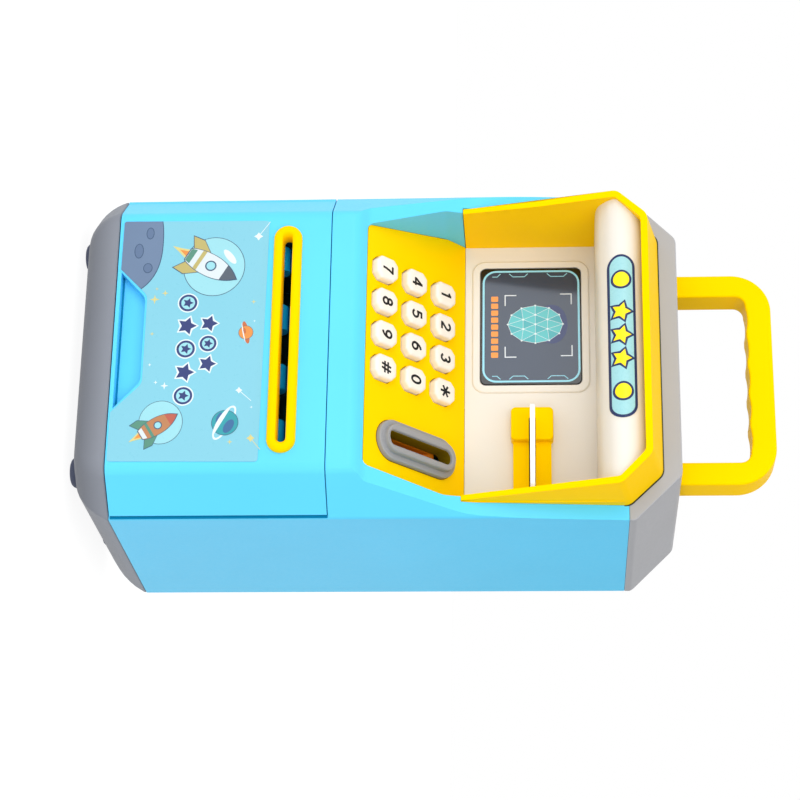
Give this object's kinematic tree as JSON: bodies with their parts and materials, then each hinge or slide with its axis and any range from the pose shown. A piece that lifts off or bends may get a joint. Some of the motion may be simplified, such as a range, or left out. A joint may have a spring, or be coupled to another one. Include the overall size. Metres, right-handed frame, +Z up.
{
  "type": "toy atm savings bank",
  "caption": "Toy cash machine savings bank with swing door, note feed rollers, sloped keypad, coin slot, screen under a hood, card reader and carry handle.",
  "frame": {"origin": "under the middle of the bank, on the surface it stands on", "axes": "+Z up, -Y out of the front with the keypad and the door, +X to the right of someone facing the front"},
  "size_m": [0.13, 0.1072, 0.2618],
  "materials": {
    "blue_shell": "smooth moulded plastic",
    "grey_cap": "smooth moulded plastic",
    "grey_base": "smooth moulded plastic",
    "foot": "satin",
    "yellow_panel": "smooth moulded plastic",
    "amber": "smooth moulded plastic",
    "grey_bezel": "fine satin",
    "chute": "satin",
    "cream_panel": "smooth moulded plastic",
    "screen": "polished with a printed backing",
    "badge": "printed label",
    "label": "printed label",
    "key": "smooth moulded plastic",
    "silicone": "satin",
    "board": "solder mask",
    "black_inner": "satin",
    "teal_inner": "satin",
    "roller": "matt rubber",
    "gear": "natural acetal",
    "card": "smooth card",
    "steel": "satin",
    "copper": "wound coil",
    "cell": "printed sleeve"
  },
  "bodies": {
    "housing": {"body_shell": "blue_shell", "rear_cover": "blue_shell", "case_screws": "steel", "top_cap": "grey_cap", "base_tray": "grey_base", "feet": "foot", "keypad_panel": "yellow_panel", "coin_bezel": "grey_bezel", "coin_chute": "chute", "fascia": "cream_panel", "screen_lens": "screen", "display_panel": "black_inner", "header_bar": "cream_panel", "header_badge": "badge", "hood": "yellow_panel", "card_reader": "amber", "handle": "yellow_panel", "key_membrane": "silicone", "keypad_board": "board", "main_board": "board", "speaker": "black_inner", "battery_box": "black_inner", "batteries": "cell", "lock_solenoid": "copper", "latch_guide": "black_inner", "hinge_pins": "steel", "cash_bin": "teal_inner", "power_switch": "black_inner"},
    "door": {"front_door": "blue_shell", "note_bezel": "yellow_panel", "door_label": "label", "roller_frame": "teal_inner", "roller_motor": "steel", "door_keeper": "black_inner"},
    "feed_roller": {"drive_roller": "roller", "roller_gear": "gear"},
    "pinch_roller": {"idler_roller": "roller"},
    "pinion": {"motor_pinion": "gear"},
    "key_1_body": {"key_1": "key"},
    "key_2_body": {"key_2": "key"},
    "key_3_body": {"key_3": "key"},
    "key_star_body": {"key_star": "key"},
    "key_4_body": {"key_4": "key"},
    "key_5_body": {"key_5": "key"},
    "key_6_body": {"key_6": "key"},
    "key_0_body": {"key_0": "key"},
    "key_7_body": {"key_7": "key"},
    "key_8_body": {"key_8": "key"},
    "key_9_body": {"key_9": "key"},
    "key_hash_body": {"key_hash": "key"},
    "card": {"bank_card": "card"},
    "latch": {"latch_bolt": "steel"},
    "battery_lid": {"battery_cover": "blue_shell", "battery_screw": "steel"},
    "switch": {"switch_knob": "black_inner"}
  },
  "joints": [
    {"name": "door_hinge", "type": "hinge", "parent": "housing", "child": "door", "pos_m": [-0.0614, -0.0348, 0.0563], "axis": [0, 0, -1], "range_deg": [0, 105]},
    {"name": "feed_spin", "type": "hinge", "parent": "door", "child": "feed_roller", "pos_m": [0, -0.0398, 0.07655], "axis": [1, 0, 0], "continuous": true},
    {"name": "pinch_spin", "type": "hinge", "parent": "door", "child": "pinch_roller", "pos_m": [0, -0.0398, 0.08405], "axis": [1, 0, 0], "continuous": true},
    {"name": "pinion_spin", "type": "hinge", "parent": "door", "child": "pinion", "pos_m": [0.049, -0.0373, 0.06635], "axis": [1, 0, 0], "continuous": true},
    {"name": "key_1_press", "type": "slide", "parent": "housing", "child": "key_1_body", "axis": [0, 0.6624, -0.7492], "range_m": [0, 0.0015], "stiffness_N_per_m": 300},
    {"name": "key_2_press", "type": "slide", "parent": "housing", "child": "key_2_body", "axis": [0, 0.6624, -0.7492], "range_m": [0, 0.0015], "stiffness_N_per_m": 300},
    {"name": "key_3_press", "type": "slide", "parent": "housing", "child": "key_3_body", "axis": [0, 0.6624, -0.7492], "range_m": [0, 0.0015], "stiffness_N_per_m": 300},
    {"name": "key_star_press", "type": "slide", "parent": "housing", "child": "key_star_body", "axis": [0, 0.6624, -0.7492], "range_m": [0, 0.0015], "stiffness_N_per_m": 300},
    {"name": "key_4_press", "type": "slide", "parent": "housing", "child": "key_4_body", "axis": [0, 0.6624, -0.7492], "range_m": [0, 0.0015], "stiffness_N_per_m": 300},
    {"name": "key_5_press", "type": "slide", "parent": "housing", "child": "key_5_body", "axis": [0, 0.6624, -0.7492], "range_m": [0, 0.0015], "stiffness_N_per_m": 300},
    {"name": "key_6_press", "type": "slide", "parent": "housing", "child": "key_6_body", "axis": [0, 0.6624, -0.7492], "range_m": [0, 0.0015], "stiffness_N_per_m": 300},
    {"name": "key_0_press", "type": "slide", "parent": "housing", "child": "key_0_body", "axis": [0, 0.6624, -0.7492], "range_m": [0, 0.0015], "stiffness_N_per_m": 300},
    {"name": "key_7_press", "type": "slide", "parent": "housing", "child": "key_7_body", "axis": [0, 0.6624, -0.7492], "range_m": [0, 0.0015], "stiffness_N_per_m": 300},
    {"name": "key_8_press", "type": "slide", "parent": "housing", "child": "key_8_body", "axis": [0, 0.6624, -0.7492], "range_m": [0, 0.0015], "stiffness_N_per_m": 300},
    {"name": "key_9_press", "type": "slide", "parent": "housing", "child": "key_9_body", "axis": [0, 0.6624, -0.7492], "range_m": [0, 0.0015], "stiffness_N_per_m": 300},
    {"name": "key_hash_press", "type": "slide", "parent": "housing", "child": "key_hash_body", "axis": [0, 0.6624, -0.7492], "range_m": [0, 0.0015], "stiffness_N_per_m": 300},
    {"name": "card_slide", "type": "slide", "parent": "housing", "child": "card", "axis": [0, -1, 0], "range_m": [-0.006, 0.045]},
    {"name": "latch_slide", "type": "slide", "parent": "housing", "child": "latch", "axis": [-1, 0, 0], "range_m": [0, 0.004], "stiffness_N_per_m": 60},
    {"name": "battery_lid_slide", "type": "slide", "parent": "housing", "child": "battery_lid", "axis": [0, 1, 0], "range_m": [0, 0.03]},
    {"name": "switch_slide", "type": "slide", "parent": "housing", "child": "switch", "axis": [1, 0, 0], "range_m": [0, 0.0038]}
  ],
  "couplings": [
    {"joint": "pinch_spin", "follows": "feed_spin", "ratio": -1},
    {"joint": "pinion_spin", "follows": "feed_spin", "ratio": -2}
  ]
}
